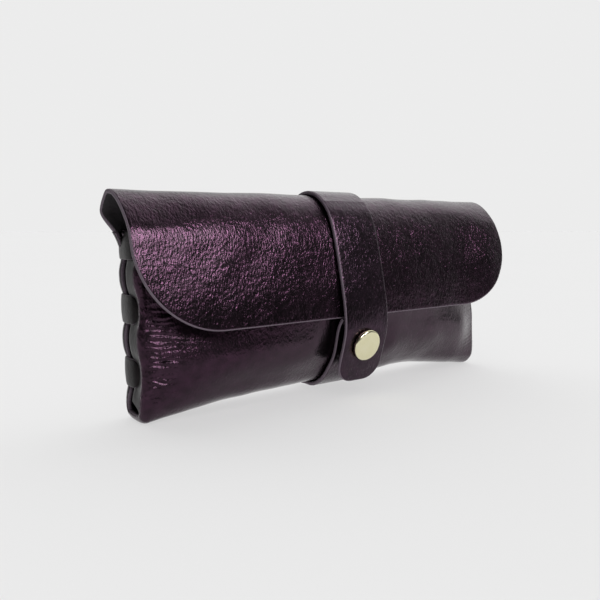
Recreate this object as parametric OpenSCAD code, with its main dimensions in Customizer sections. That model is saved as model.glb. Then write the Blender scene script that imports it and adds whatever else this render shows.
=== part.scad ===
// Soft pouch glasses case: one folded leather sheet, laced at both ends, closed by a
// wrap-around strap with a snap fastener. X runs along the case, -Y is the front, +Z is up,
// and the origin is the middle of the strap's flat underside, where the case stands.

/* [Case] */
// Length of the flap and of the rolled top
flap_w = 182; // [176:1:188]
// Length of the pouch over its two laced ends
pouch_w = 170; // [164:1:172]
// Height from the resting plane to the top of the roll
case_h = 78; // [75:0.2:80]
// Front to back distance of the profiles, from the belly to the back
case_d = 34.6; // [33:0.2:37]
// Thickness of the body and strap leather
leather = 1.6; // [1.2:0.1:1.8]
// Radius of the flap's two lower corners
corner_r = 30; // [20:1:34]

/* [Strap] */
// Width of the strap
strap_w = 22; // [18:0.2:24]
// Radius of the corners at the strap's free end
strap_end_r = 8; // [5:0.5:9]

/* [Laces] */
// Width of the flat lace at each end
lace_w = 10; // [8:0.5:11]
// Thickness of the lace
lace_t = 1.2; // [0.9:0.1:1.3]
// Height of the lowest lace crossing
lace_first = 15.2; // [13.6:0.2:15.2]
// Distance from one lace crossing to the next
lace_pitch = 21.6; // [20:0.1:21.6]

/* [Snap fastener] */
// Diameter of the snap cap
cap_d = 12.5; // [11:0.1:13]
// Height of the snap cap above the strap
cap_t = 1.9; // [1.6:0.1:2.2]
// Depth of the closed snap, from the strap's face to the tab's face
snap_depth = 4.4; // [4.2:0.1:4.8]

/* [Hidden] */
$fn = 48;

// Scale of the profiles, which are drawn for a case of the nominal height and depth
NOMINAL_H = 75.6;
NOMINAL_D = 34.6;
function at(y, z) = [y * case_d / NOMINAL_D, z * case_h / NOMINAL_H];

// Small gap left between two faces that touch
touch = 0.1;
// Gap between the tab and the curved belly behind it
tab_gap = 0.4;
// Length of a cutter that has to pass right through a leather layer
through = 8;

// ---- Snap frame: the strap runs straight from snap_top to snap_low, with the snap midway ----
snap_top = at(-25.9, 24.8);
snap_low = at(-23.4, 15.3);
snap_mid = (snap_top + snap_low) / 2;
snap_run = (snap_low - snap_top) / norm(snap_low - snap_top);
snap_in = [-snap_run[1], snap_run[0]];
snap_tilt = atan2(snap_in[1], snap_in[0]);

tab_top = snap_top + snap_depth * snap_in;
tab_low = snap_low + snap_depth * snap_in;
tab_end = tab_top - 2.4 * snap_run;
body_top = tab_top + (leather + tab_gap) * snap_in;
body_low = tab_low + (leather + tab_gap) * snap_in;

// ---- Outer profiles in Y and Z, each followed so that the outside is on its right ----
// Pouch at mid-length: front edge, down the belly, along the bottom, up the back
POUCH_MID = [at(-15.2, 59), at(-17.7, 50), at(-19.6, 41), at(-20.7, 33), body_top, body_low,
             at(-13.4, 10.6), at(-9, 5.8), at(-3, 3.6), at(4, 3.6), at(7.8, 5.6), at(9.6, 10),
             at(10.2, 18), at(10.5, 28), at(10.7, 42), at(10.5, 54), at(9.4, 62)];
// Pouch at its laced ends, point for point with the list above
POUCH_END = [at(-5.8, 62), at(-6.4, 52), at(-7.1, 41), at(-7.8, 33), at(-8.6, 25), at(-9.3, 16),
             at(-9.4, 9), at(-8.6, 3.4), at(-5.6, 0), at(3.2, 0), at(6.4, 2.6), at(7, 8),
             at(7.6, 16), at(8.8, 28), at(9.6, 41), at(10.2, 52), at(9.4, 62)];
// Roll over the top, from the back to the front
ROLL = [at(9.4, 62.2), at(9.2, 66.2), at(7.6, 70.8), at(4.2, 74.2), at(-0.6, 75.6),
        at(-5.6, 74.8), at(-10, 72.1), at(-13.4, 68)];
// Flap, from the roll down the front to its free edge
FLAP = [at(-13.6, 67.7), at(-16.4, 62), at(-19.2, 52), at(-21.6, 41), at(-23.2, 30.6)];
// Strap on the pouch: straight tab behind the snap, under the bottom, then up the back
STRAP_TAB = [tab_end, tab_low, at(-15.2, 9.2), at(-11, 3.4), at(-5, 0)];
STRAP_REAR = [at(4, 0), at(9.4, 1.8), at(11.8, 7.4), at(12.2, 18), at(12.5, 28), at(12.7, 42),
              at(12.5, 54), at(11.4, 62)];
// Strap over the roll
STRAP_TOP = [at(11.4, 62.2), at(11.1, 66.6), at(9.2, 71.8), at(5, 75.8), at(-0.6, 77.4),
             at(-6.6, 76.5), at(-11.8, 73.4), at(-15.4, 69.7)];
// Strap down the front to its free end
STRAP_DOWN = [at(-15.6, 69.4), at(-18.7, 63), at(-21.6, 52), at(-24, 41), at(-25.6, 32), snap_top];
STRAP_TIP = [snap_low, at(-21.9, 9.6), at(-20.2, 4.4)];

// Steps between two neighbouring points of a profile
STEPS = 3;

// ---- Plane curves ----
function spline(a, b, c, d, t) =
    0.5 * (2 * b + (c - a) * t + (2 * a - 5 * b + 4 * c - d) * t * t
           + (3 * b - a - 3 * c + d) * t * t * t);
function curve(p, n) =
    [for (i = [0:len(p) - 2]) for (k = [0:n - 1])
        spline(p[max(i - 1, 0)], p[i], p[i + 1], p[min(i + 2, len(p) - 1)], k / n),
     p[len(p) - 1]];
function run_at(p, i) =
    let (d = p[min(i + 1, len(p) - 1)] - p[max(i - 1, 0)]) d / norm(d);
function outward(p, i) = let (r = run_at(p, i)) [r[1], -r[0]];
function shifted(p, d) = [for (i = [0:len(p) - 1]) p[i] + d * outward(p, i)];
function reversed(p) = [for (i = [len(p) - 1:-1:0]) p[i]];

// Band of leather of width w, whose outer face follows the profile p in Y and Z
module band(p, w, t = leather) {
    rotate([90, 0, 90])
        linear_extrude(height = w, center = true)
            polygon(concat(p, reversed(shifted(p, -t))));
}

// Leather blank seen from the front, w wide, with its free edge at z_low and corners of radius r
module blank(w, z_low, z_high, r) {
    rotate([90, 0, 0])
        linear_extrude(height = 100, center = true)
            union() {
                translate([-w / 2, z_low + r]) square([w, z_high - z_low - r]);
                translate([-w / 2 + r, z_low]) square([w - 2 * r, z_high - z_low]);
                for (side = [-1, 1])
                    translate([side * (w / 2 - r), z_low + r]) circle(r = r, $fn = 96);
            }
}

// Moves its children to the snap, with Z pointing into the case from the strap's outer face
module at_snap(depth = 0) {
    translate([0, snap_mid[0], snap_mid[1]])
        rotate([snap_tilt - 90, 0, 0])
            translate([0, 0, depth])
                children();
}

// ---- Pouch: one sheet whose ends turn in to close the two sides ----
half_w = pouch_w / 2;
turn_r = 2;
end_x = half_w - leather / 2 - turn_r;
// Number of stations along the pouch, from one end to the other
STATIONS = 16;
// Steps round each turned-in corner
TURN_STEPS = 3;
// How fast the belly fades to the narrow ends
FADE = 2.6;
// Widths of the turned-in margins at the front, at the back and at the bottom
front_margin = 6.6;
back_margin = 1.2;
bottom_margin = 0.3;

mid_curve = curve(POUCH_MID, STEPS);
end_curve = curve(POUCH_END, STEPS);
rows = len(mid_curve);
// The rows from 0 to FRONT_ROWS are the front panel, and those past BACK_ROW the back panel
FRONT_ROWS = 7 * STEPS - 1;
BACK_ROW = 11 * STEPS;

function fullness(x) = 1 - pow(abs(x) / end_x, FADE);
function section(x) =
    let (g = fullness(x)) [for (i = [0:rows - 1]) end_curve[i] + g * (mid_curve[i] - end_curve[i])];
function margin(i) = i < FRONT_ROWS ? front_margin : i > BACK_ROW ? back_margin : bottom_margin;
function station_x(j) = end_x * sin(90 * (2 * j / STATIONS - 1));

// One line of the sheet's middle surface: x, then inward travel past the end section's face
function straight_line(x) =
    let (s = shifted(section(x), -leather / 2)) [for (i = [0:rows - 1]) [x, s[i][0], s[i][1]]];
function turned_line(side, x, travel) =
    let (s = section(end_x))
    [for (i = [0:rows - 1])
        let (q = s[i] - (leather / 2 + travel[i]) * outward(s, i)) [side * x, q[0], q[1]]];
function turn_travel(a) = [for (i = [0:rows - 1]) turn_r * (1 - cos(a))];
function margin_travel(k) = [for (i = [0:rows - 1]) turn_r + k * margin(i)];
function turned_end(side) = concat(
    [for (k = [1:TURN_STEPS])
        let (a = 90 * k / TURN_STEPS) turned_line(side, end_x + turn_r * sin(a), turn_travel(a))],
    [for (k = [0.5, 1]) turned_line(side, end_x + turn_r, margin_travel(k))]);

// The sheet's middle surface, as lines from the left end to the right end
sheet = concat(reversed(turned_end(-1)),
               [for (j = [0:STATIONS]) straight_line(station_x(j))],
               turned_end(1));

function sheet_normal(g, j, i) =
    let (u = g[min(j + 1, len(g) - 1)][i] - g[max(j - 1, 0)][i],
         v = g[j][min(i + 1, len(g[0]) - 1)] - g[j][max(i - 1, 0)],
         n = cross(u, v))
    n / norm(n);

// Solid sheet of thickness t about the middle surface g
module thick_sheet(g, t) {
    nj = len(g);
    ni = len(g[0]);
    count = nj * ni;
    points = [for (s = [1, -1]) for (j = [0:nj - 1]) for (i = [0:ni - 1])
        g[j][i] + s * t / 2 * sheet_normal(g, j, i)];
    top = [for (j = [0:nj - 2]) for (i = [0:ni - 2])
        let (a = j * ni + i, b = a + 1, c = a + ni, d = c + 1)
        each [[a, b, d], [a, d, c]]];
    base = [for (f = top) [f[2] + count, f[1] + count, f[0] + count]];
    rim = concat([for (i = [0:ni - 2]) [i, i + 1]],
                 [for (j = [0:nj - 2]) [(j + 1) * ni - 1, (j + 2) * ni - 1]],
                 [for (i = [ni - 1:-1:1]) [(nj - 1) * ni + i, (nj - 1) * ni + i - 1]],
                 [for (j = [nj - 1:-1:1]) [j * ni, (j - 1) * ni]]);
    sides = [for (e = rim) each [[e[1], e[0], e[0] + count], [e[1], e[0] + count, e[1] + count]]];
    polyhedron(points = points, faces = concat(top, base, sides), convexity = 8);
}

// ---- Laces ----
LACE_ROWS = [0, 1, 2];
// Y of the slits in the front margins, and distance of the back slits from the pouch's ends
front_slit_y = -3.4;
back_slit_in = 6.5;
// Clearance of a slit all round its lace
slit_gap = 0.15;

function lace_z(k) = lace_first + k * lace_pitch;
// Outer face of the back panel at height z, close to the ends
function back_y(z) = lookup(z, [for (i = [BACK_ROW:rows - 1]) [end_curve[i][1], end_curve[i][0]]]);
function lace_back_y(k) = max(back_y(lace_z(k) - lace_w / 2), back_y(lace_z(k) + lace_w / 2)) + touch;

// Cutters for the slits that the lace passes through, at the right end
module lace_slits() {
    w = lace_w + 2 * slit_gap;
    t = lace_t + 2 * slit_gap;
    for (k = LACE_ROWS) {
        translate([half_w - through / 2, front_slit_y - t / 2, lace_z(k) - w / 2])
            cube([through, t, w]);
        translate([half_w - back_slit_in - t / 2, lace_back_y(k) - through / 2, lace_z(k) - w / 2])
            cube([t, through, w]);
    }
}

// One outer crossing of the lace at the right end, from the front slit round to the back slit
module lace_crossing(k) {
    x_out = half_w + touch;
    y_out = lace_back_y(k);
    x_slit = half_w - back_slit_in - lace_t / 2;
    y_slit = front_slit_y - lace_t / 2;
    leg = leather + 2.2;
    translate([0, 0, lace_z(k) - lace_w / 2]) {
        translate([x_out - leg, y_slit, 0])
            cube([leg + lace_t, lace_t, lace_w]);
        translate([x_out, y_slit, 0])
            cube([lace_t, y_out + lace_t - y_slit, lace_w]);
        translate([x_slit, y_out, 0])
            cube([x_out + lace_t - x_slit, lace_t, lace_w]);
        translate([x_slit, y_out - leg, 0])
            cube([lace_t, leg + lace_t, lace_w]);
    }
}

// The inner run of the lace, down from the front slit of row k to the back slit of the row below
module lace_return(k) {
    hull() {
        translate([half_w - leather - 2, front_slit_y - lace_t / 2, lace_z(k) - lace_w / 2])
            cube([lace_t, lace_t, lace_w]);
        translate([half_w - back_slit_in - lace_t / 2, lace_back_y(k - 1) - leather - 2,
                   lace_z(k - 1) - lace_w / 2])
            cube([lace_t, lace_t, lace_w]);
    }
}

module lace() {
    for (k = LACE_ROWS) lace_crossing(k);
    for (k = [1, 2]) lace_return(k);
}

// ---- Snap and rivet sizes ----
hole_r = 1.5;
shank_r = 1.4;
socket_r = 4.6;
socket_bore_r = 3.1;
socket_depth = 2.2;
plate_t = 0.45;
stud_r = 2;
stud_h = 2;
rivet_z = 48;
rivet_head_r = 4;
rivet_head_t = 1.2;
rivet_outer_y = at(12.8, rivet_z)[0];
rivet_inner_y = at(10.6, rivet_z)[0] - leather;

// Moves its children to the rivet, with Z pointing out of the back of the case
module at_rivet(y) {
    translate([0, y, rivet_z])
        rotate([-90, 0, 0])
            children();
}

// ---- Sub-parts ----
module pouch_body() {
    color("#3b2636")
        difference() {
            thick_sheet(sheet, leather);
            lace_slits();
            mirror([1, 0, 0]) lace_slits();
            at_snap(snap_depth - 1) cylinder(r = hole_r, h = through);
            at_rivet(rivet_inner_y - 2) cylinder(r = hole_r, h = through);
        }
}

module flap_roll() {
    color("#46303f") band(curve(ROLL, STEPS), flap_w);
}

module flap() {
    flap_low = FLAP[len(FLAP) - 1][1];
    color("#4a3044")
        intersection() {
            band(curve(FLAP, STEPS), flap_w);
            blank(flap_w, flap_low, case_h, corner_r);
        }
}

module left_lace() {
    color("#55505a") mirror([1, 0, 0]) lace();
}

module right_lace() {
    color("#55505a") lace();
}

module strap_back() {
    front = curve(STRAP_TAB, STEPS);
    under = [for (i = [STEPS:len(front) - 1]) front[i]];
    path = concat([tab_end], under, curve(STRAP_REAR, STEPS));
    color("#33212f")
        difference() {
            band(path, strap_w);
            at_snap(snap_depth - 1) cylinder(r = hole_r, h = through / 2);
            at_rivet(rivet_outer_y - through / 2) cylinder(r = hole_r, h = through);
        }
}

module strap_bend() {
    color("#503848") band(curve(STRAP_TOP, STEPS), strap_w);
}

module strap_front() {
    path = concat(curve(STRAP_DOWN, STEPS), curve(STRAP_TIP, STEPS));
    tip_z = STRAP_TIP[2][1];
    color("#4b3346")
        difference() {
            intersection() {
                band(path, strap_w);
                blank(strap_w, tip_z, case_h, strap_end_r);
            }
            at_snap(-through / 4) cylinder(r = hole_r, h = through / 2);
        }
}

// Cap with a flat face and a rounded edge, and the shank that goes through the strap
module snap_cap() {
    r = cap_d / 2;
    bevel = cap_t / 2;
    edge = [for (a = [0:15:90]) [r - bevel + bevel * sin(a), -cap_t + bevel * (1 - cos(a))]];
    color("#d6cba0")
        at_snap() {
            rotate_extrude($fn = 96)
                polygon(concat([[0, -cap_t]], edge, [[r, -0.2], [r - 0.2, 0], [0, 0]]));
            cylinder(r = shank_r, h = leather + plate_t);
        }
}

// Socket on the strap's inner face, open towards the stud
module snap_socket() {
    color("#b9b3a6")
        at_snap(leather)
            difference() {
                cylinder(r = socket_r, h = socket_depth);
                translate([0, 0, plate_t]) cylinder(r = socket_bore_r, h = socket_depth);
                translate([0, 0, -1]) cylinder(r = shank_r + 0.02, h = 3);
            }
}

// Stud on the tab's outer face, with a rounded head
module snap_stud() {
    color("#b9b3a6")
        at_snap(snap_depth)
            difference() {
                rotate_extrude()
                    union() {
                        translate([0, -plate_t]) square([socket_r, plate_t]);
                        translate([0, -stud_h + 0.5]) square([stud_r, stud_h - 0.5]);
                        translate([0, -stud_h]) square([stud_r - 0.5, stud_h]);
                        translate([stud_r - 0.5, -stud_h + 0.5]) circle(r = 0.5, $fn = 24);
                    }
                translate([0, 0, -stud_h + 0.4]) cylinder(r = shank_r + 0.02, h = stud_h);
            }
}

// Post pushed from inside the pouch through the body and the tab into the stud
module snap_post() {
    inner_face = 2 * leather + tab_gap + touch;
    color("#b9b3a6")
        at_snap(snap_depth) {
            translate([0, 0, inner_face]) cylinder(r = socket_r, h = plate_t);
            translate([0, 0, -1]) cylinder(r = shank_r, h = inner_face + 1.1);
        }
}

// Low domed rivet head that holds the strap to the back panel
module rivet_cap() {
    dome_r = (rivet_head_r * rivet_head_r + rivet_head_t * rivet_head_t) / (2 * rivet_head_t);
    color("#d6cba0")
        at_rivet(rivet_outer_y)
            difference() {
                intersection() {
                    translate([0, 0, rivet_head_t - dome_r]) sphere(r = dome_r, $fn = 96);
                    cylinder(r = rivet_head_r, h = rivet_head_t + 1);
                }
                translate([0, 0, -1]) cylinder(r = shank_r + 0.02, h = 1.6);
            }
}

module rivet_post() {
    grip = rivet_outer_y - rivet_inner_y;
    color("#b9b3a6")
        at_rivet(rivet_inner_y) {
            translate([0, 0, -plate_t - touch]) cylinder(r = rivet_head_r, h = plate_t);
            translate([0, 0, -touch - 0.1]) cylinder(r = shank_r, h = grip + 0.6);
        }
}

pouch_body();
flap_roll();
flap();
left_lace();
right_lace();
strap_back();
strap_bend();
strap_front();
snap_cap();
snap_socket();
snap_stud();
snap_post();
rivet_cap();
rivet_post();
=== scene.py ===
"""Looks of a soft pouch glasses case: one folded sheet of metallic leather with a rolled top and a
rounded flap, laced ends, and a wrap-around strap with a snap fastener."""
import math

import bpy
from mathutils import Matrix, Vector, noise


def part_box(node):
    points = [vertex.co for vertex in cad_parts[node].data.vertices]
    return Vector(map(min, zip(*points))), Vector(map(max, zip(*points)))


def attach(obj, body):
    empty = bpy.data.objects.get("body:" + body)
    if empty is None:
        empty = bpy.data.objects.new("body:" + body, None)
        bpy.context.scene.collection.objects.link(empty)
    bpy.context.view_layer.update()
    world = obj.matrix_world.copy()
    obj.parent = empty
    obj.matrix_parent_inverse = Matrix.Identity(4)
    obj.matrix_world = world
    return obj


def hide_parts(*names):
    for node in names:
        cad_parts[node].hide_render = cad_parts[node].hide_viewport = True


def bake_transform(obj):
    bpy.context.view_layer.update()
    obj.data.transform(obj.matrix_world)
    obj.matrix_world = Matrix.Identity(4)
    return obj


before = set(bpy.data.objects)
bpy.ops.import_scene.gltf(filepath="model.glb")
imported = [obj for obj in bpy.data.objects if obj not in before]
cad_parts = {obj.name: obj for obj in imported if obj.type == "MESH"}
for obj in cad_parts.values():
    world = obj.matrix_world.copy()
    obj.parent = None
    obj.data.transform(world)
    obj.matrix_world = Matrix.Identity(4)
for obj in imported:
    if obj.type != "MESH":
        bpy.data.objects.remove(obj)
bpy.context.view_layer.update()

MM = 0.001

# ---------------------------------------------------------------- sizes from the frame
ROLL_LO, ROLL_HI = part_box("flap_roll")
FLAP_LO, FLAP_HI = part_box("flap")
BODY_LO, BODY_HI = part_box("pouch_body")
STRAP_LO, STRAP_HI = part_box("strap_front")
CAP_LO, CAP_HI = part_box("snap_cap")
LACE_LO, LACE_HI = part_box("left_lace")

# The profiles below are drawn in mm for a case of this height and depth, and scaled to the frame
NOMINAL_HEIGHT = 75.6
NOMINAL_DEPTH = 32.6
SCALE_Z = ROLL_HI.z / MM / NOMINAL_HEIGHT
SCALE_Y = (ROLL_HI.y - FLAP_LO.y) / MM / NOMINAL_DEPTH

FLAP_HALF = FLAP_HI.x / MM
POUCH_HALF = BODY_HI.x / MM
STRAP_HALF = STRAP_HI.x / MM
CAP_R = (CAP_HI.x - CAP_LO.x) / 2 / MM
LEATHER = 1.6
FLAP_CORNER = 30.0
STRAP_CORNER = 8.0


def at(y, z):
    """Point of a profile, from its nominal Y and Z in mm."""
    return Vector((y * SCALE_Y, z * SCALE_Z))


# ---------------------------------------------------------------- profiles, outer faces, Y and Z in mm
# Snap: the strap runs straight from SNAP_TOP to SNAP_LOW, and the tab runs parallel behind it
SNAP_TOP, SNAP_LOW = at(-25.9, 24.8), at(-23.4, 15.3)
SNAP_MID = (SNAP_TOP + SNAP_LOW) / 2
SNAP_RUN = (SNAP_LOW - SNAP_TOP).normalized()
SNAP_IN = Vector((-SNAP_RUN.y, SNAP_RUN.x))
SNAP_DEPTH = 4.4
TAB_TOP, TAB_LOW = SNAP_TOP + SNAP_DEPTH * SNAP_IN, SNAP_LOW + SNAP_DEPTH * SNAP_IN
BODY_TOP, BODY_LOW = TAB_TOP + (LEATHER + 0.4) * SNAP_IN, TAB_LOW + (LEATHER + 0.4) * SNAP_IN

POUCH_MID = [at(-15.2, 59), at(-17.7, 50), at(-19.6, 41), at(-20.7, 33), BODY_TOP, BODY_LOW,
             at(-13.4, 10.6), at(-9, 5.8), at(-3, 3.6), at(4, 3.6), at(7.8, 5.6), at(9.6, 10),
             at(10.2, 18), at(10.5, 28), at(10.7, 42), at(10.5, 54), at(9.4, 62)]
POUCH_END = [at(-5.8, 62), at(-6.4, 52), at(-7.1, 41), at(-7.8, 33), at(-8.6, 25), at(-9.3, 16),
             at(-9.4, 9), at(-8.6, 3.4), at(-5.6, 0), at(3.2, 0), at(6.4, 2.6), at(7, 8),
             at(7.6, 16), at(8.8, 28), at(9.6, 41), at(10.2, 52), at(9.4, 62)]
ROLL_AND_FLAP = [at(9.4, 62), at(9.2, 66.2), at(7.6, 70.8), at(4.2, 74.2), at(-0.6, 75.6),
                 at(-5.6, 74.8), at(-10, 72.1), at(-13.4, 68), at(-16.4, 62), at(-19.2, 52),
                 at(-21.6, 41), at(-23.2, 30.6)]
STRAP_UNDER = [TAB_TOP - 4.6 * SNAP_RUN - 1.3 * SNAP_IN, TAB_TOP, TAB_LOW, at(-15.4, 10.2), at(-11, 5.2),
               at(-5.5, 2.2), at(0, 2.0), at(4, 2.0), at(9.4, 3.4), at(11.8, 8.2), at(12.2, 18),
               at(12.5, 28), at(12.7, 42), at(12.5, 54), at(11.4, 62)]
STRAP_OVER = [at(11.4, 62), at(11.1, 66.6), at(9.2, 71.8), at(5, 75.8), at(-0.6, 77.4),
              at(-6.6, 76.5), at(-11.8, 73.4)]
STRAP_DOWN = [at(-11.8, 73.4), at(-15.4, 69.4), at(-18.5, 63), at(-21.7, 52), at(-24.3, 41),
              at(-25.9, 32), SNAP_TOP, SNAP_LOW, at(-21.9, 10.4), at(-20.2, 5.4)]

# Laces
LACE_W, LACE_T = 10.0, 1.0
# How far a crossing's middle bows out, and how far its face is set in
LACE_BOW, LACE_INSET = 0.35, 0.1
LACE_PITCH = ((LACE_HI - LACE_LO).z / MM - LACE_W) / 2
# How much higher than in the CAD the crossings sit
LACE_RISE = 1.2
LACE_ROWS = [LACE_LO.z / MM + LACE_W / 2 + LACE_RISE + k * LACE_PITCH for k in range(3)]


# ---------------------------------------------------------------- small maths
def clamp(x, lo=0.0, hi=1.0):
    return max(lo, min(hi, x))


def smooth(x):
    """Smooth step from 0 to 1 as x goes from 0 to 1."""
    x = clamp(x)
    return x * x * (3 - 2 * x)


def hump(x, middle, width, power=2):
    """Bell-shaped bump of height 1 about middle."""
    return math.exp(-abs((x - middle) / width) ** power)


def spline(p, u):
    """Point at parameter u on the Catmull-Rom curve through the points p, one unit per point."""
    i = int(clamp(math.floor(u), 0, len(p) - 2))
    t = u - i
    a, b, c, d = p[max(i - 1, 0)], p[i], p[i + 1], p[min(i + 2, len(p) - 1)]
    return 0.5 * (2 * b + (c - a) * t + (2 * a - 5 * b + 4 * c - d) * t * t
                  + (3 * b - a - 3 * c + d) * t * t * t)


class Path:
    """A smooth curve through points, read by its length along the curve in mm."""

    STEPS = 40

    def __init__(self, points, start=0.0):
        self.points = points
        count = (len(points) - 1) * self.STEPS
        self.fine = [spline(points, k / self.STEPS) for k in range(count + 1)]
        self.length = [start]
        for a, b in zip(self.fine, self.fine[1:]):
            self.length.append(self.length[-1] + (b - a).length)
        self.start, self.end = start, self.length[-1]

    def parameter(self, s):
        """Spline parameter at length s."""
        lo, hi = 0, len(self.length) - 1
        while hi - lo > 1:
            mid = (lo + hi) // 2
            if self.length[mid] <= s:
                lo = mid
            else:
                hi = mid
        span = self.length[hi] - self.length[lo]
        return (lo + (s - self.length[lo]) / span) / self.STEPS

    def point(self, s):
        return spline(self.points, self.parameter(s))

    def frame(self, s):
        """Point, direction of travel and outward normal at length s."""
        near = 0.05
        a, b = self.point(max(s - near, self.start)), self.point(min(s + near, self.end))
        run = (b - a).normalized()
        return self.point(s), run, Vector((run.y, -run.x))


# Distances of the extra rows of points that round off a raw edge, and of those beside a seam, in mm
BESIDE_EDGE = [0.0, 0.06, 0.2, 0.42, 0.75, 1.2]
BESIDE_SEAM = [0.0, 0.08, 0.3]


def spread(lo, hi, step, edges=(True, True)):
    """Values from lo to hi about step apart, with extra ones close to each raw edge and seam.
    edges says whether the start and the end are raw edges."""
    first = [lo + n for n in (BESIDE_EDGE if edges[0] else BESIDE_SEAM)]
    last = [hi - n for n in reversed(BESIDE_EDGE if edges[1] else BESIDE_SEAM)]
    a, b = first[-1], last[0]
    count = max(1, round((b - a) / step))
    return first + [a + (b - a) * k / count for k in range(1, count)] + last


def fbm(p, octaves=4):
    """Fractal noise in about -1..1."""
    value, size = 0.0, 1.0
    for _ in range(octaves):
        value += size * noise.noise(p)
        p = p * 2.03
        size *= 0.5
    return value


# ---------------------------------------------------------------- materials
class Nodes:
    """Short names for building one material's nodes."""

    def __init__(self, name):
        self.material = bpy.data.materials.new(name)
        self.material.use_nodes = True
        self.tree = self.material.node_tree
        self.shader = self.tree.nodes["Principled BSDF"]

    def add(self, kind, inputs=None, **settings):
        node = self.tree.nodes.new("ShaderNode" + kind)
        for key, value in settings.items():
            setattr(node, key, value)
        for key, value in (inputs or {}).items():
            self.put(node.inputs[key], value)
        return node

    def put(self, socket, value):
        if isinstance(value, bpy.types.NodeSocket):
            self.tree.links.new(value, socket)
        else:
            socket.default_value = value

    def set(self, **values):
        for key, value in values.items():
            self.put(self.shader.inputs[key.replace("_", " ")], value)

    def uv(self, scale=(1, 1, 1), rotation=0.0):
        coord = self.add("TexCoord").outputs["UV"]
        node = self.add("Mapping", {"Vector": coord, "Scale": scale, "Rotation": (0, 0, rotation)})
        return node.outputs["Vector"]

    def noise(self, vector, scale, detail=3.0, rough=0.5, distortion=0.0):
        node = self.add("TexNoise", {"Vector": vector, "Scale": scale, "Detail": detail,
                                     "Roughness": rough, "Distortion": distortion})
        return node.outputs["Fac"]

    def cells(self, vector, scale, smoothness=0.6):
        node = self.add("TexVoronoi", {"Vector": vector, "Scale": scale, "Smoothness": smoothness},
                        feature="SMOOTH_F1")
        return node.outputs["Distance"]

    def math(self, operation, a, b=0.0):
        node = self.add("Math", operation=operation)
        self.put(node.inputs[0], a)
        self.put(node.inputs[1], b)
        return node.outputs[0]

    def remap(self, value, lo, hi, to_lo=0.0, to_hi=1.0):
        node = self.add("MapRange", {"Value": value, "From Min": lo, "From Max": hi,
                                     "To Min": to_lo, "To Max": to_hi})
        return node.outputs[0]

    def mix(self, factor, a, b):
        node = self.add("Mix", data_type="RGBA")
        self.put(node.inputs[0], factor)
        self.put(node.inputs[6], (*a, 1) if isinstance(a, tuple) else a)
        self.put(node.inputs[7], (*b, 1) if isinstance(b, tuple) else b)
        return node.outputs[2]

    def bump(self, height, distance, strength=1.0, normal=None):
        node = self.add("Bump", {"Height": height, "Distance": distance, "Strength": strength})
        if normal is not None:
            self.put(node.inputs["Normal"], normal)
        return node.outputs["Normal"]


# Height of the leather's grain, and how much of it shows in the clear finish, in metres
GRAIN_HEIGHT = 0.00012
FINISH_HEIGHT = 0.00007


def foil_leather(name, dark, bright, rough, grain=1.0, swell=1.0, coat=0.3, rubbed_with_sheen=False):
    """Metallic foil on leather under a thin clear finish: a pebbled grain drawn out along the sheet's
    length, fine creases, and a slow unevenness that breaks up the highlights, with paler spots in the
    grain painted on as glints. UV is the flat sheet in cm. A rubbed sheet is smoother and glossier on
    the lower part of the front panel, where a paler colour is painted on as a reflection of the floor."""
    n = Nodes(name)
    flat = n.uv()
    patch = n.noise(flat, 2.6, 4, 0.6)
    drift = n.noise(flat, 0.7, 3, 0.55)
    pull = n.noise(flat, 3.5, 2, 0.5)
    shift = n.add("CombineXYZ", {"X": n.math("MULTIPLY", pull, 0.22)}).outputs[0]
    bent = n.add("VectorMath", {0: flat, 1: shift}, operation="ADD").outputs[0]
    long = n.add("Mapping", {"Vector": bent, "Scale": (1.45, 0.60, 1), "Rotation": (0, 0, 0.22)})
    pebble = n.cells(long.outputs["Vector"], 12.0, 0.5)
    small = n.cells(bent, 27.0, 0.5)
    fine = n.noise(flat, 42.0, 3, 0.6)
    roll = n.noise(flat, 4.2, 3, 0.5)

    colour = n.mix(n.remap(patch, 0.35, 0.68), dark, bright)
    # glint is a paler, greyer colour in the small cells of the grain: painted glints
    glint = (1.5 * bright[0], 2.3 * bright[1], 1.65 * bright[2])
    glints_and_sheen = n.mix(n.remap(small, 0.15, 0.0, 0.0, 0.5), colour, glint)
    n.set(Metallic=1.0)
    gloss = n.math("ADD", n.remap(drift, 0.3, 0.7, rough - 0.03, rough + 0.05),
                   n.remap(fine, 0.3, 0.7, -0.02, 0.04))
    height = n.math("MULTIPLY", pebble, grain)
    for layer, share in ((small, 0.30 * grain), (roll, 1.5 * swell), (fine, 0.14 * grain)):
        height = n.math("ADD", height, n.math("MULTIPLY", layer, share))
    if rubbed_with_sheen:
        # The rubbed part lies below a border that runs aslant from the panel's lower left corner up to
        # the flap, and ends at the bottom fold. There the grain is smoother and the finish glossier.
        place = n.add("SeparateXYZ", {"Vector": flat})
        slant = n.math("ADD", n.math("MULTIPLY", place.outputs["X"], 0.48), place.outputs["Y"])
        kept_without_sheen = n.math("MAXIMUM", n.remap(place.outputs["Y"], 6.5, 9.0), n.remap(slant, 2.5, 1.5))
        height = n.math("MULTIPLY", height, n.remap(kept_without_sheen, 0.0, 1.0, 0.4, 1.0))
        gloss = n.math("ADD", gloss, n.remap(kept_without_sheen, 0.0, 1.0, -0.06, 0.0))
        # Below the border the colour is mixed towards a paler grey: a painted reflection of the floor
        glints_and_sheen = n.mix(n.remap(kept_without_sheen, 0.0, 1.0, 0.45, 0.0), glints_and_sheen, (0.062, 0.045, 0.056))
    n.set(Base_Color=glints_and_sheen, Roughness=gloss, Normal=n.bump(height, GRAIN_HEIGHT),
          Coat_Normal=n.bump(height, FINISH_HEIGHT), Coat_Weight=coat, Coat_Roughness=0.3)
    return n.material


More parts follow.
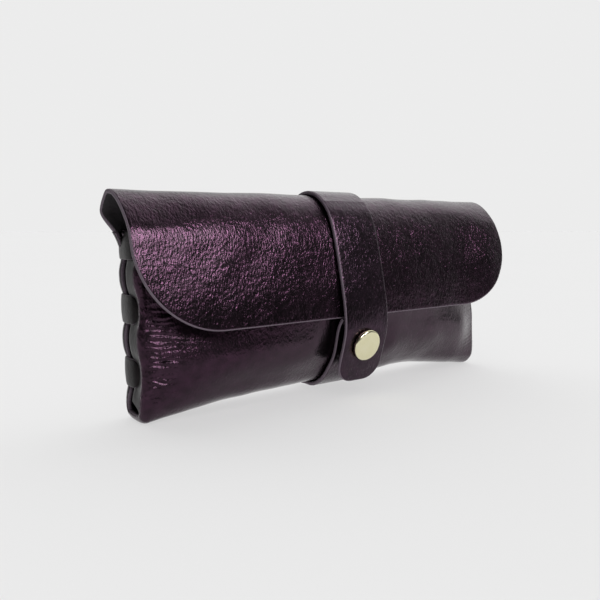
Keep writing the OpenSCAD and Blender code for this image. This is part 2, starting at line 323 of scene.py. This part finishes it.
def raw_edge(name):
    """Cut edge of the leather: fibrous, greyer and lighter than the face."""
    n = Nodes(name)
    fibre = n.noise(n.uv((26, 26, 1)), 1.4, 4, 0.65)
    n.set(Base_Color=n.mix(n.remap(fibre, 0.3, 0.7), (0.078, 0.058, 0.076), (0.165, 0.126, 0.16)),
          Metallic=0.1, Roughness=n.remap(fibre, 0.3, 0.7, 0.5, 0.68))
    n.set(Normal=n.bump(fibre, 0.0002, 0.6))
    return n.material


def flesh_side(name):
    """Inner, suede-like side of the leather."""
    n = Nodes(name)
    nap = n.noise(n.uv((18, 18, 1)), 1.5, 5, 0.7)
    cloud = n.noise(n.uv(), 1.2, 3, 0.5)
    tone = n.mix(n.remap(cloud, 0.3, 0.7), (0.010, 0.008, 0.010), (0.022, 0.016, 0.020))
    n.set(Base_Color=n.mix(n.remap(nap, 0.3, 0.7, 0.0, 0.5), tone, (0.035, 0.028, 0.034)),
          Roughness=0.92, Sheen_Weight=0.15, Sheen_Roughness=0.5)
    n.set(Normal=n.bump(nap, 0.00025, 0.7))
    return n.material


def plated_metal(name, colour, shade, rough, scratch):
    """Plated snap and rivet parts, with faint handling scratches. Coordinates are in metres."""
    n = Nodes(name)
    place = n.add("TexCoord").outputs["Object"]
    cloud = n.noise(place, 300.0, 3, 0.6)
    line = n.add("Mapping", {"Vector": place, "Scale": (300, 300, 4000), "Rotation": (0.5, 0.3, 0.2)})
    hair = n.noise(line.outputs["Vector"], 1.0, 3, 0.7)
    n.set(Base_Color=n.mix(n.remap(cloud, 0.3, 0.7), colour, shade), Metallic=1.0,
          Roughness=n.math("ADD", n.remap(cloud, 0.3, 0.7, rough, rough + 0.06),
                           n.remap(hair, 0.5, 0.8, 0.0, scratch)))
    n.set(Normal=n.bump(hair, 0.00002, scratch))
    return n.material


def paper_floor(name):
    """Pale matt paper without any shine."""
    n = Nodes(name)
    place = n.add("TexCoord").outputs["Object"]
    tone = n.noise(place, 3.0, 2, 0.5)
    n.set(Base_Color=n.mix(tone, (0.795, 0.795, 0.795), (0.805, 0.805, 0.805)), Roughness=1.0)
    n.set(Specular_IOR_Level=0.0, IOR=1.0)
    return n.material


BODY_FACE = foil_leather("body_leather", dark=(0.023, 0.0085, 0.018), bright=(0.045, 0.017, 0.036),
                         rough=0.21, rubbed_with_sheen=True)
STRAP_FACE = foil_leather("strap_leather", dark=(0.023, 0.0105, 0.020), bright=(0.042, 0.019, 0.036),
                          rough=0.22, grain=0.9, swell=0.8)
# Dark grey leather of the laces, which the pouch's turned-in margins also get as painted shade
LACE_AND_SHADE_FACE = foil_leather("lace_leather", dark=(0.011, 0.0095, 0.010), bright=(0.018, 0.0155, 0.0165),
                         rough=0.36, grain=0.3, swell=0.4, coat=0.04)
EDGE = raw_edge("raw_edge")
FLESH = flesh_side("flesh_side")
GOLD = plated_metal("pale_gold", (0.80, 0.76, 0.50), (0.84, 0.80, 0.56), rough=0.16, scratch=0.05)
STAMPED = plated_metal("snap_inner", (0.60, 0.56, 0.46), (0.68, 0.65, 0.55), rough=0.28, scratch=0.15)


# ---------------------------------------------------------------- leather sheets
# Radius of a raw edge's rounding, and how far its fibrous cut shows on the face, as shares of the
# leather's thickness
EDGE_ROUND = 0.45
EDGE_CUT = 0.2
# Material slots of a leather piece
# The last slot gives the pouch's turned-in margins the laces' darker leather: painted shade
ON_FACE, ON_EDGE, ON_FLESH, ON_SHADE = range(4)


def rounding(d, r):
    """How far a face has dropped at distance d from a raw edge that is rounded with radius r."""
    return 0.0 if d >= r else r - math.sqrt(max(r * r - (r - d) ** 2, 0.0))


def rounded_corner(x, s, half, end, r):
    """Maps a point of a sheet with square corners at its end to one with corners of radius r, so
    that lines beside an edge stay beside it. Gives x, s and the distance to the nearest edge."""
    side, left = half - abs(x), end - s
    if side >= r or left >= r:
        return x, s, min(side, left)
    u, v = r - side, r - left
    big = max(u, v)
    turn = math.pi / 4 * v / u if u >= v else math.pi / 2 - math.pi / 4 * u / v
    return (math.copysign(half - r + big * math.cos(turn), x), end - r + big * math.sin(turn), r - big)


def grid_normal(grid, i, j):
    """Outward normal of the grid at its point i, j."""
    rows, cols = len(grid), len(grid[0])
    du = grid[min(i + 1, rows - 1)][j] - grid[max(i - 1, 0)][j]
    dv = grid[i][min(j + 1, cols - 1)] - grid[i][max(j - 1, 0)]
    return du.cross(dv).normalized()


def leather_piece(name, face, grid, edge, flat, thick=LEATHER, shade_columns=()):
    """Closed leather mesh. grid[i][j] is a point of the outer face in mm, edge[i][j] its distance to
    the nearest raw edge, and flat[i][j] its place on the flat sheet in mm. The listed columns get the
    laces' darker leather as painted shade. Rows at a seam, which are no raw edge, are kept sharp."""
    rows, cols = len(grid), len(grid[0])
    top, base, uv = [], [], []
    for i in range(rows):
        for j in range(cols):
            out = grid_normal(grid, i, j)
            drop = rounding(edge[i][j], EDGE_ROUND * thick)
            top.append(grid[i][j] - out * drop)
            base.append(grid[i][j] - out * (thick - drop))
            uv.append(flat[i][j])
    count = rows * cols
    faces, kinds = [], []
    for i in range(rows - 1):
        for j in range(cols - 1):
            a, b = i * cols + j, i * cols + j + 1
            c, d = a + cols, b + cols
            near = min(edge[i][j], edge[i + 1][j], edge[i][j + 1], edge[i + 1][j + 1])
            raw = near < EDGE_CUT * thick
            faces.append((a, c, d, b))
            kinds.append(ON_EDGE if raw else ON_SHADE if j in shade_columns else ON_FACE)
            faces.append((b + count, d + count, c + count, a + count))
            kinds.append(ON_EDGE if raw else ON_FLESH)
    rim = [(j, j + 1) for j in range(cols - 1)]
    rim += [(i * cols + cols - 1, (i + 1) * cols + cols - 1) for i in range(rows - 1)]
    rim += [((rows - 1) * cols + j, (rows - 1) * cols + j - 1) for j in range(cols - 1, 0, -1)]
    rim += [(i * cols, (i - 1) * cols) for i in range(rows - 1, 0, -1)]
    for a, b in rim:
        faces.append((a, b, b + count, a + count))
        kinds.append(ON_EDGE)
    mesh = bpy.data.meshes.new(name)
    mesh.from_pydata([tuple(v * MM) for v in top + base], [], faces)
    for material in (face, EDGE, FLESH) + ((LACE_AND_SHADE_FACE,) if shade_columns else ()):
        mesh.materials.append(material)
    mesh.polygons.foreach_set("material_index", kinds)
    mesh.polygons.foreach_set("use_smooth", [True] * len(faces))
    mesh.update(calc_edges=True)
    seams = [{i * cols + j + side for j in range(cols)} for i in (0, rows - 1) for side in (0, count)
             if edge[i][cols // 2] > 0.5]
    for e in mesh.edges:
        if any(e.vertices[0] in seam and e.vertices[1] in seam for seam in seams):
            e.use_edge_sharp = True
    layer = mesh.uv_layers.new(name="flat")
    for loop in mesh.loops:
        u, v = uv[loop.vertex_index % count]
        layer.data[loop.index].uv = (u / 10, v / 10)
    obj = bpy.data.objects.new(name, mesh)
    bpy.context.scene.collection.objects.link(obj)
    return obj


def lifted(grid, height):
    """grid with each point moved along its normal by height(i, j) in mm."""
    return [[point + grid_normal(grid, i, j) * height(i, j) for j, point in enumerate(line)]
            for i, line in enumerate(grid)]


# The flat sheet's length runs along the profile in the middle of the case, from the front panel's
# top edge round to the flap's edge
POUCH_PATH = Path(POUCH_MID)
FLAP_PATH = Path(ROLL_AND_FLAP, POUCH_PATH.end)


def slow_waves(x, s, seed, size=14.0):
    """Gentle unevenness of a hand-made leather sheet."""
    return noise.noise(Vector((x / size, s / size, seed)))


# ---------------------------------------------------------------- pouch
# Bend radius, in the middle of the leather, where the side margins turn in
TURN_R = 2.0
# X at which that turn starts
END_X = POUCH_HALF - LEATHER / 2 - TURN_R
# How late the full middle section gives way to the slim end section
FADE = 2.6
# Width of the turned-in margin: at the front, along the bottom and at the back
MARGIN, MARGIN_BOTTOM, MARGIN_BACK = 6.6, 0.4, 1.4
# How far each lace crossing draws the pouch's end in, and about half the height that it draws
DRAWN_IN, DRAWN_SPAN = 1.6, 6.4
# The wrinkles: height of one, and the distance from one to the next
WRINKLE, WRINKLE_PITCH = 0.36, 1.8
# Distance of the rows of points on the front panel, which carries the wrinkles
FRONT_ROW, FRONT_LENGTH = 0.36, 58


def pouch_section(u, x):
    """Point of the outer face, in Y and Z, at profile parameter u and distance x from the middle."""
    full = 1 - min(abs(x) / END_X, 1.0) ** FADE
    return spline(POUCH_END, u).lerp(spline(POUCH_MID, u), full)


def pouch_normal(u, x):
    """Outward normal of that section, in Y and Z."""
    last = len(POUCH_MID) - 1
    a, b = pouch_section(max(u - 0.02, 0), x), pouch_section(min(u + 0.02, last), x)
    run = (b - a).normalized()
    return Vector((run.y, -run.x))


def margin_width(u):
    """Width of the turned-in margin: wide and a little uneven at the front, and narrow elsewhere."""
    z = spline(POUCH_END, u).y
    front = MARGIN + 0.5 * noise.noise(Vector((z / 9, 4.2, 0.7)))
    on_front, on_back = smooth((7.2 - u) / 0.7), smooth((u - 10.6) / 0.6)
    return MARGIN_BOTTOM + on_front * (front - MARGIN_BOTTOM) + on_back * (MARGIN_BACK - MARGIN_BOTTOM)


def drawn_in(z):
    """How far the laces draw the pouch's end in at height z."""
    return DRAWN_IN * min(sum(hump(z, row, DRAWN_SPAN, 3) for row in LACE_ROWS), 1.0)


def settled(p):
    """Moves a point of the pouch from its plain section to where use and lacing have put it: the
    back panel flares towards the roll, the laces draw the ends in, the belly sags beside the strap,
    and the right half is fuller at its end and lifted at its bottom."""
    x, y, z = p
    side = math.copysign(1, x)
    flare = 3.5 * clamp((z - 54) / 10) ** 1.25 * smooth((y - 1) / 5) * smooth(abs(x) / END_X)
    pinch = drawn_in(z) * smooth((abs(x) - 66) / 17) * (0.3 + 0.7 * smooth((y + 8) / 5))
    front = smooth((3 - y) / 8)
    loose = smooth((abs(x) - 13) / 10) * smooth((END_X - abs(x)) / 16) * front
    sag = loose * (0.5 * hump(z, 38, 8) - 1.6 * hump(z, 20, 7))
    if x > 0:
        sag -= 2.0 * smooth((x - 36) / 40) * smooth((z + 3) / 8) * smooth((50 - z) / 30) * front
        z += 1.8 * hump(x, 45, 24) * smooth((13 - z) / 10)
    return Vector((x + side * (flare - pinch), y + sag, z))


def pouch_relief(u, x, z):
    """Height of the pouch's leather over its smooth shape: short wrinkles across the front panel's
    ends, which are weaker at the right, and slow waves between them."""
    front = smooth((6.6 - u) / 0.8) * smooth((46 - z) / 6)
    ends = smooth((abs(x) - 71) / 6) * smooth((END_X + 1.0 - abs(x)) / 3) * (0.3 if x > 0 else 1.0)
    wave = math.sin(2 * math.pi * (z / WRINKLE_PITCH + 1.1 * noise.noise(Vector((x / 6, z / 8, 5.0)))))
    patchy = clamp(0.42 + 1.3 * noise.noise(Vector((x / 5, z / 3.2, 8.0))), 0.05, 0.65)
    patchy *= 0.35 + 0.65 * smooth((38 - z) / 7)
    ruck = (WRINKLE * wave * patchy + 0.30 * fbm(Vector((x * 0.14, z * 0.45, 3.1)), 3)) * ends * front
    slack = slow_waves(x, z, 1.7, 16) * 0.5 + slow_waves(x, z, 9.2, 7) * 0.12
    return ruck + slack * smooth((END_X - abs(x)) / 14)


# Columns of points over the panel's width: the panel itself by X, the turn by its angle, and the
# margin by the share of its width
PANEL_COLUMNS = [END_X * math.sin(math.pi / 2 * k / 62) for k in range(-62, 63)]
TURN_COLUMNS = [15, 30, 45, 60, 75, 90]
MARGIN_COLUMNS = [0.12, 0.3, 0.5, 0.68, 0.82, 0.92, 0.97, 1.0]


def panel_point(u, x):
    """Point of a panel between its turns, with its distance to a raw edge and its place across."""
    p = pouch_section(u, x)
    return settled((x, p.x, p.y)), math.inf, x


def end_point(u, side, angle, share):
    """The same for a point of an end's turn, at an angle in degrees, or of the margin beyond it."""
    a = math.radians(angle)
    r_out = TURN_R + LEATHER / 2
    width = margin_width(u)
    p = pouch_section(u, END_X) - pouch_normal(u, END_X) * (r_out * (1 - math.cos(a)) + share * width)
    gap = (1 - share) * width if share else math.inf
    across = side * (END_X + TURN_R * a + share * width)
    return settled((side * (END_X + r_out * math.sin(a)), p.x, p.y)), gap, across


def pouch_row(u):
    """One row of points round the pouch's width, from the left margin's edge to the right one's."""
    left = [end_point(u, -1, 90, k) for k in reversed(MARGIN_COLUMNS)]
    left += [end_point(u, -1, a, 0.0) for a in reversed(TURN_COLUMNS)]
    right = [end_point(u, 1, a, 0.0) for a in TURN_COLUMNS]
    right += [end_point(u, 1, 90, k) for k in MARGIN_COLUMNS]
    return left + [panel_point(u, x) for x in PANEL_COLUMNS] + right


def make_pouch():
    v = spread(POUCH_PATH.start, POUCH_PATH.end, FRONT_ROW, (True, False))
    v = [s for k, s in enumerate(v) if s < FRONT_LENGTH or s > v[-4] or k % 2]
    us = [POUCH_PATH.parameter(s) for s in v]
    rows = [pouch_row(min(u, len(POUCH_MID) - 1)) for u in us]
    grid = [[point for point, gap, across in row] for row in rows]
    edge = [[min(gap, s - v[0]) for point, gap, across in row] for row, s in zip(rows, v)]
    flat = [[(across, s) for point, gap, across in row] for row, s in zip(rows, v)]
    grid = lifted(grid, lambda i, j: pouch_relief(us[i], grid[i][j].x, grid[i][j].z)
                  * smooth((v[-1] - v[i]) / 6))
    # The turned-in margins at the pouch's ends get the laces' darker leather: painted shade
    margin, last = len(MARGIN_COLUMNS), len(grid[0]) - 1
    shade_columns = set(range(margin)) | set(range(last - margin, last))
    piece = leather_piece("pouch_body_leather", BODY_FACE, grid, edge, flat, LEATHER, shade_columns)
    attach(piece, "root")
    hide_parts("pouch_body")
    return piece


# ---------------------------------------------------------------- roll and flap
# Where the roll starts it is this much wider than the pouch on each side, and it has its full width
# after this length
FLARE_START, FLARE_LENGTH = 2.35, 7.5


def flap_flare(s):
    """Part of the flap's full width at length s, where it flares out of the back panel."""
    narrow = 1 - (POUCH_HALF + FLARE_START) / FLAP_HALF
    return 1 - narrow * (1 - clamp((s - FLAP_PATH.start) / FLARE_LENGTH)) ** 2


def flap_shape(x, s):
    """Outer face of the roll and flap: the profile, with the roll pinched at the left end, fuller at
    the right end and tucked in at its back corners, and the flap's right end standing off."""
    y, z = FLAP_PATH.point(s)
    end = smooth((abs(x) - 62) / 28)
    if x < 0:
        dy = 2.6 * end * smooth((z - 64) / 12) * smooth((6 - y) / 8)
    else:
        dy = -2.0 * end * hump(z, 64, 9) * smooth(-y / 6)
        dy -= 2.8 * smooth((x - 58) / 26) * smooth((66 - z) / 16) * smooth(-y / 6)
    tuck = smooth((abs(x) - 82.5) / 8) * smooth((72 - z) / 9) if y > 0 else 0.0
    return Vector((x, y + dy - 4.0 * tuck, z))


def flap_relief(x, s):
    """Height of the flap's slow waves, which fade out towards the seam with the pouch."""
    slack = slow_waves(x, s, 4.4, 22) * 0.45 + slow_waves(x, s, 7.9, 9) * 0.16
    return slack * smooth((s - FLAP_PATH.start) / 8)


def make_flap():
    v = spread(FLAP_PATH.start, FLAP_PATH.end, 0.9, (False, True))
    across = spread(-FLAP_HALF, FLAP_HALF, 1.35)
    grid, edge, flat = [], [], []
    for s in v:
        line, gaps, places = [], [], []
        for a in across:
            x, t, gap = rounded_corner(a, s, FLAP_HALF, FLAP_PATH.end, FLAP_CORNER)
            line.append(flap_shape(x * flap_flare(t), t))
            gaps.append(gap)
            places.append((x, t))
        grid.append(line)
        edge.append(gaps)
        flat.append(places)
    grid = lifted(grid, lambda i, j: flap_relief(grid[i][j].x, v[i]))
    piece = leather_piece("flap_leather", BODY_FACE, grid, edge, flat)
    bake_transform(piece)
    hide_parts("flap_roll", "flap")
    return piece


# ---------------------------------------------------------------- strap
# How far the strap's and the laces' places lie from the body's on the flat leather, in mm, so that
# no two pieces have the same grain
STRAP_PLACE, LACE_PLACE = 200, 300


def strap_piece(name, path, raw, corner=0.0, relief=None):
    """Strap along a path. raw says whether the start and the end are cut edges, corner is the radius
    of the end's two corners, and relief(x, s, p) is the height of the face over the path."""
    v = spread(path.start, path.end, 0.8, raw)
    across = spread(-STRAP_HALF, STRAP_HALF, 0.85)
    grid, edge, flat = [], [], []
    for s in v:
        line, gaps, places = [], [], []
        for a in across:
            x, t, gap = a, s, STRAP_HALF - abs(a)
            if corner:
                x, t, gap = rounded_corner(a, s, STRAP_HALF, path.end, corner)
            if raw[0]:
                gap = min(gap, s - path.start)
            p, _, out = path.frame(t)
            q = p + out * (relief(x, t, p) if relief else 0.0)
            line.append(Vector((x, q.x, q.y)))
            gaps.append(gap)
            places.append((x + STRAP_PLACE, t))
        grid.append(line)
        edge.append(gaps)
        flat.append(places)
    return leather_piece(name, STRAP_FACE, grid, edge, flat)


def strap_relief(x, s, p):
    """The strap cups a little across its width, and dips round the snap cap."""
    cup = -0.25 * (x / STRAP_HALF) ** 2
    wave = slow_waves(x + 50, s, 2.2, 11) * 0.16
    r = math.hypot(x, (p - SNAP_MID).length)
    dip = -0.30 * smooth((CAP_R + 2.2 - r) / 2.4)
    return cup + wave + dip


def make_strap():
    under = Path(STRAP_UNDER)
    over = Path(STRAP_OVER, under.end)
    down = Path(STRAP_DOWN, over.end)
    back = strap_piece("strap_back_leather", under, (True, False))
    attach(back, "root")
    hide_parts("strap_back")
    bend = strap_piece("strap_bend_leather", over, (False, False))
    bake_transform(bend)
    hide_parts("strap_bend")

    def front_relief(x, s, p):
        return strap_relief(x, s, p) * smooth((s - down.start) / 10)

    front = strap_piece("strap_front_leather", down, (False, True), STRAP_CORNER, front_relief)
    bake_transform(front)
    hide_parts("strap_front")


# ---------------------------------------------------------------- laces
# The back panel's outer face at the pouch's ends, from its bottom fold up, as pairs of Z and Y
BACK_FROM, BACK_STEPS = 10, 20
BACK_FACE = sorted((p.y, p.x) for p in (spline(POUCH_END, BACK_FROM + k / BACK_STEPS)
                                        for k in range(6 * BACK_STEPS + 1)))


def back_y(z):
    """Y of the back panel's outer face at height z, at the pouch's ends."""
    below = [p for p in BACK_FACE if p[0] <= z] or BACK_FACE[:1]
    return below[-1][1]


def lace_band(name, side, path, z_at, bow=0.0, width=lambda s: 1.0):
    """A lace along a path in X and Y, about the height z_at(s) and LACE_W * width(s) wide. Its middle
    stands out by bow, and it is mirrored for the left side, -1."""
    v = spread(path.start, path.end, 0.6)
    half, beside = LACE_W / 2, BESIDE_EDGE[:-1]
    inner = half - beside[-1]
    across = [n - half for n in beside] + [-inner + inner * k / 5 for k in range(1, 10)]
    across += [half - n for n in reversed(beside)]
    grid, edge, flat = [], [], []
    for s in v:
        p, _, out = path.frame(s)
        line, gaps, places = [], [], []
        for a in across:
            q = p + out * (bow * (1 - (a / half) ** 2) - LACE_INSET * (bow > 0))
            z = z_at(s) + a * width(s)
            shift = (back_y(z) - back_y(z_at(s))) * smooth(q.y / 7)
            line.append(Vector((side * q.x, q.y + shift, z)))
            gaps.append(min(half - abs(a), s - v[0], v[-1] - s))
            places.append((a + LACE_PLACE, s + z_at(s) * 3))
        grid.append(line)
        edge.append(gaps)
        flat.append(places)
    if side < 0:
        grid, edge, flat = [[list(reversed(line)) for line in rows] for rows in (grid, edge, flat)]
    return leather_piece(name, LACE_AND_SHADE_FACE, grid, edge, flat, LACE_T)


def crossing_path(row):
    """Outer path of a crossing in X and Y: out past the front margin, round the back corner and in."""
    y = back_y(row) + 0.15 + LACE_T
    x = POUCH_HALF - DRAWN_IN + 0.1 + LACE_T
    return Path([Vector((x - 3.6, -5.2)), Vector((x - 2.0, -4.0)), Vector((x - 0.5, -2.4)),
                 Vector((x + 0.1, 0.2)), Vector((x + 0.2, 3.6)), Vector((x - 0.3, y - 2.6)),
                 Vector((x - 2.0, y - 0.6)), Vector((x - 4.6, y)), Vector((x - 7.0, y - 0.3)),
                 Vector((x - 8.2, y - 1.7)), Vector((x - 8.4, y - 4.2))])


def inner_path(row):
    """Path of the run inside the pouch from the front margin to the back panel's slit at a row."""
    x, y = POUCH_HALF - DRAWN_IN, back_y(row)
    return Path([Vector((x - 3.2, -5.4)), Vector((x - 3.3, -3.0)), Vector((x - 4.2, 1.0)),
                 Vector((x - 6.0, y - 5.2)), Vector((x - 6.6, y - 2.6))])


def crossing_width(s):
    """A crossing comes out of its slit folded, and opens to its full width on the way."""
    return 0.32 + 0.68 * smooth((s + 0.5) / 6.5)


def make_lace(side, name):
    pieces = [lace_band(f"{name}_{k}", side, crossing_path(row), lambda s, row=row: row, LACE_BOW,
                        crossing_width) for k, row in enumerate(LACE_ROWS)]
    for k, (low, high) in enumerate(zip(LACE_ROWS, LACE_ROWS[1:]), 1):
        path = inner_path(low)

        def height(s, high=high, low=low, path=path):
            return high + (low - high) * smooth(s / path.end)

        pieces.append(lace_band(f"{name}_inner_{k}", side, path, height))
    for piece in pieces:
        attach(piece, "root")
    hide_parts(name)


# ---------------------------------------------------------------- snap and rivet
def lathe(name, profile, centre, axis, material, segments=96):
    """Solid of revolution. profile is (radius, height) in mm from the top centre round to the
    bottom centre, and height runs along axis."""
    up = Vector(axis).normalized()
    side = Vector((1, 0, 0))
    other = up.cross(side)
    points, faces = [], []
    for r, h in profile:
        for k in range(segments):
            a = 2 * math.pi * k / segments
            points.append((centre + up * h + (side * math.cos(a) + other * math.sin(a)) * r) * MM)
    for i in range(len(profile) - 1):
        for k in range(segments):
            a, b = i * segments + k, i * segments + (k + 1) % segments
            faces.append((a, b, b + segments, a + segments))
    faces.append(tuple(range(segments - 1, -1, -1)))
    last = (len(profile) - 1) * segments
    faces.append(tuple(range(last, last + segments)))
    mesh = bpy.data.meshes.new(name)
    mesh.from_pydata([tuple(p) for p in points], [], faces)
    mesh.materials.append(material)
    mesh.polygons.foreach_set("use_smooth", [True] * len(faces))
    mesh.validate()
    obj = bpy.data.objects.new(name, mesh)
    bpy.context.scene.collection.objects.link(obj)
    return obj


def make_snap():
    """The snap's cap, hardly domed, with a rounded edge and a shank that goes through the strap."""
    centre = Vector((0, SNAP_MID.x, SNAP_MID.y))
    axis = Vector((0, -SNAP_IN.x, -SNAP_IN.y))
    tall, dome, bevel, drop = 1.9, 0.05, 1.0, 0.85
    shank, shank_end, middle = 1.4, -LEATHER - 0.45, 0.02
    flat = CAP_R - bevel
    profile = [(middle, tall)] + [(k * flat, tall - dome * k * k) for k in (0.25, 0.5, 0.75, 0.92)]
    for a in (math.radians(10 * k) for k in range(10)):
        profile.append((flat + bevel * math.sin(a), tall - dome - drop * (1 - math.cos(a))))
    profile += [(CAP_R, 0.35), (CAP_R - 0.25, 0.05), (CAP_R - 1.0, -0.1),
                (shank, -0.1), (shank, shank_end), (middle, shank_end)]
    cap = lathe("snap_cap_metal", profile, centre, axis, GOLD)
    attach(cap, "strap_front")
    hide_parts("snap_cap")


def dress_node(node, material):
    """Gives a CAD node that stays its better material."""
    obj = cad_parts[node]
    obj.data.materials.clear()
    obj.data.materials.append(material)


# ---------------------------------------------------------------- stage, light and camera
def stage_card(name, corners, material):
    """A flat four-cornered stage piece."""
    mesh = bpy.data.meshes.new(name)
    mesh.from_pydata(corners, [], [(0, 1, 2, 3)])
    mesh.materials.append(material)
    obj = bpy.data.objects.new(name, mesh)
    bpy.context.scene.collection.objects.link(obj)
    return obj


def make_floor():
    half = 12.0
    corners = [(-half, -half, 0), (half, -half, 0), (half, half, 0), (-half, half, 0)]
    return stage_card("floor", corners, paper_floor("paper"))


def make_dark_card():
    """A low dark card in front of the case, to its right. Only reflections show it."""
    foot, along, high = Vector((0.064, -0.13, 0)), Vector((0.79, 0.61, 0)), 0.07
    ends = foot - 0.40 * along, foot + 0.012 * along
    up = Vector((0, 0, high))
    n = Nodes("dark_card")
    n.set(Base_Color=(0.01, 0.01, 0.01, 1), Roughness=1.0, Specular_IOR_Level=0.0)
    card = stage_card("dark_card", [ends[0], ends[1], ends[1] + up, ends[0] + up], n.material)
    card.visible_camera = card.visible_diffuse = card.visible_shadow = False


# Strength of the pale backdrop, and of the dim room in front of the case
BACKDROP, DIM_ROOM = 0.84, 0.07
# The world brightens along this direction, to behind the case and to its right
TO_BACKDROP = (0.61, 0.79, 0.15)


def make_world():
    """A pale backdrop behind the case and a dim room in front of it. The camera sees it all pale."""
    world = bpy.data.worlds.new("studio")
    world.use_nodes = True
    tree = world.node_tree
    back = tree.nodes["Background"]
    place = tree.nodes.new("ShaderNodeTexCoord")
    along = tree.nodes.new("ShaderNodeVectorMath")
    along.operation = "DOT_PRODUCT"
    along.inputs[1].default_value = TO_BACKDROP
    tree.links.new(place.outputs["Generated"], along.inputs[0])
    ramp = tree.nodes.new("ShaderNodeMapRange")
    ramp.interpolation_type = "SMOOTHSTEP"
    ramp.inputs["From Min"].default_value = 0.0
    ramp.inputs["From Max"].default_value = 0.80
    ramp.inputs["To Min"].default_value = DIM_ROOM
    ramp.inputs["To Max"].default_value = BACKDROP
    tree.links.new(along.outputs["Value"], ramp.inputs["Value"])
    path = tree.nodes.new("ShaderNodeLightPath")
    seen = tree.nodes.new("ShaderNodeMix")
    tree.links.new(path.outputs["Is Camera Ray"], seen.inputs[0])
    tree.links.new(ramp.outputs[0], seen.inputs[2])
    seen.inputs[3].default_value = BACKDROP
    tree.links.new(seen.outputs[0], back.inputs["Strength"])
    back.inputs["Color"].default_value = (1, 1, 1, 1)
    bpy.context.scene.world = world


def floor_light(floor):
    """A wide sun that lights and shades nothing but the floor, which makes it as pale as the backdrop."""
    sun = bpy.data.lights.new("floor_light", "SUN")
    sun.energy, sun.angle = 2.82, math.radians(60)
    lamp = bpy.data.objects.new("floor_light", sun)
    lamp.rotation_euler = Vector((0.35, 0.45, -0.82)).to_track_quat("-Z", "Y").to_euler()
    bpy.context.scene.collection.objects.link(lamp)
    only_floor = bpy.data.collections.new("floor_only")
    only_floor.objects.link(floor)
    lamp.light_linking.receiver_collection = only_floor
    lamp.light_linking.blocker_collection = only_floor


def area_light(name, place, target, size, watts, receivers):
    """A soft box at a place that points to a target, in metres."""
    data = bpy.data.lights.new(name, "AREA")
    data.shape = "RECTANGLE"
    data.size, data.size_y = size
    data.energy = watts
    obj = bpy.data.objects.new(name, data)
    obj.location = place
    obj.rotation_euler = (Vector(target) - Vector(place)).to_track_quat("-Z", "Y").to_euler()
    obj.light_linking.receiver_collection = receivers
    bpy.context.scene.collection.objects.link(obj)


def make_light(floor):
    """The world, the floor's own light and three soft boxes that light all but the floor."""
    make_world()
    floor_light(floor)
    no_floor = bpy.data.collections.new("all_but_floor")
    no_floor.objects.link(floor)
    no_floor.collection_objects[0].light_linking.link_state = "EXCLUDE"
    area_light("key", (0.18, -0.77, 0.56), (-0.06, -0.02, 0.055), (0.30, 0.26), 4.7, no_floor)
    area_light("side", (-0.20, -0.78, 0.44), (-0.08, -0.01, 0.03), (0.34, 0.26), 2.7, no_floor)
    area_light("top", (0.42, 0.14, 0.70), (0, 0, 0.07), (0.8, 0.7), 1.4, no_floor)


def make_camera():
    """The camera stands close to the case, at its left front and a little below its top."""
    data = bpy.data.cameras.new("camera")
    data.sensor_width = 36
    data.lens = 39
    data.clip_start = 0.01
    obj = bpy.data.objects.new("camera", data)
    obj.location = (-0.1711, -0.2054, 0.0652)
    obj.rotation_euler = (math.radians(90 - 6.3), 0, math.radians(-37.6))
    bpy.context.scene.collection.objects.link(obj)
    bpy.context.scene.camera = obj


make_camera()
make_light(make_floor())
make_dark_card()
make_pouch()
make_flap()
make_strap()
make_lace(-1, "left_lace")
make_lace(1, "right_lace")
make_snap()
for inner in ("snap_socket", "snap_stud", "snap_post", "rivet_post"):
    dress_node(inner, STAMPED)
dress_node("rivet_cap", GOLD)
bpy.context.scene.view_settings.view_transform = "Standard"
